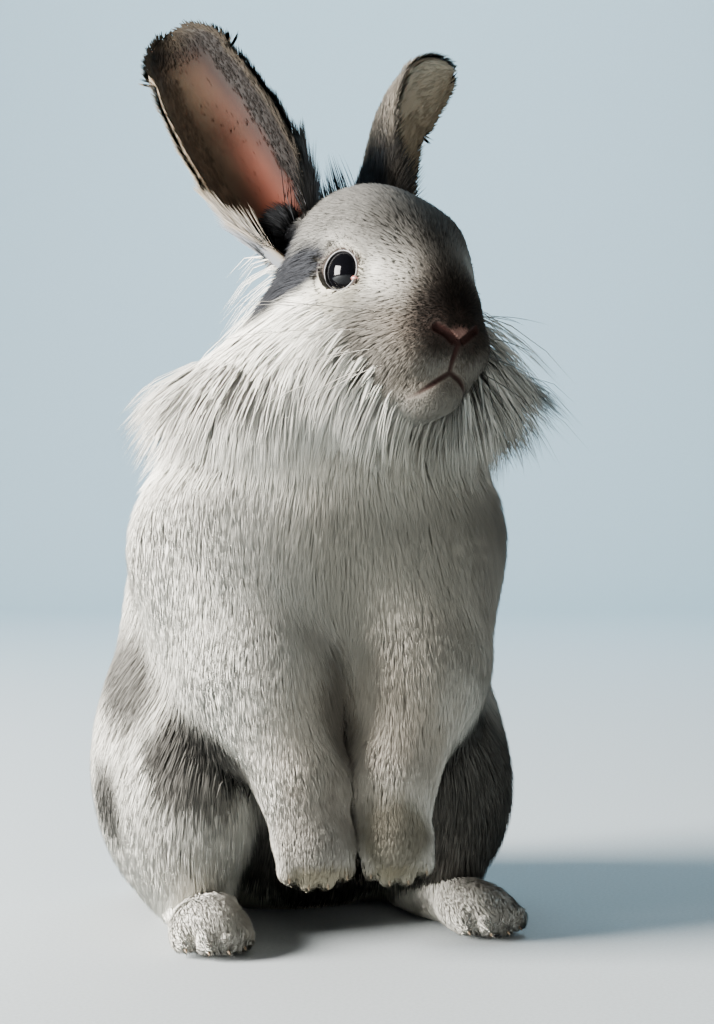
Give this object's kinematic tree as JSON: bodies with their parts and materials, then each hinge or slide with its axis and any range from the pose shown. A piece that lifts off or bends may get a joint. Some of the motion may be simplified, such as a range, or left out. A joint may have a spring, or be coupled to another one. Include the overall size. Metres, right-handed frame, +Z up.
{
  "type": "dwarf lionhead rabbit",
  "caption": "Life-size still model of a dwarf lionhead rabbit sitting up on its haunches, forepaws hanging, head turned to its left.",
  "frame": {"origin": "on the floor, under the middle of the model's box", "axes": "the body faces -Y, +Z is up and +X is the animal's left"},
  "size_m": [0.1596, 0.1714, 0.2876],
  "materials": {
    "white_fur": "dense warm white fur",
    "grey_fur": "short grey-brown fur",
    "tan_fur": "short pale tan fur",
    "ear_fur": "thin grey-brown fur over pink skin",
    "eye": "wet, glossy, almost black",
    "skin": "soft bare pink skin",
    "claw": "pale brown horn"
  },
  "bodies": {
    "root": {"head": "grey_fur", "neck": "white_fur", "torso": "white_fur", "tail": "grey_fur", "ear_left": "ear_fur", "ear_right": "ear_fur", "eye_left": "eye", "eye_right": "eye", "foreleg_left": "white_fur", "foreleg_right": "white_fur", "forepaw_left": "tan_fur", "forepaw_right": "tan_fur", "thigh_left": "white_fur", "thigh_right": "white_fur", "hind_foot_left": "white_fur", "hind_foot_right": "white_fur"}
  },
  "joints": []
}
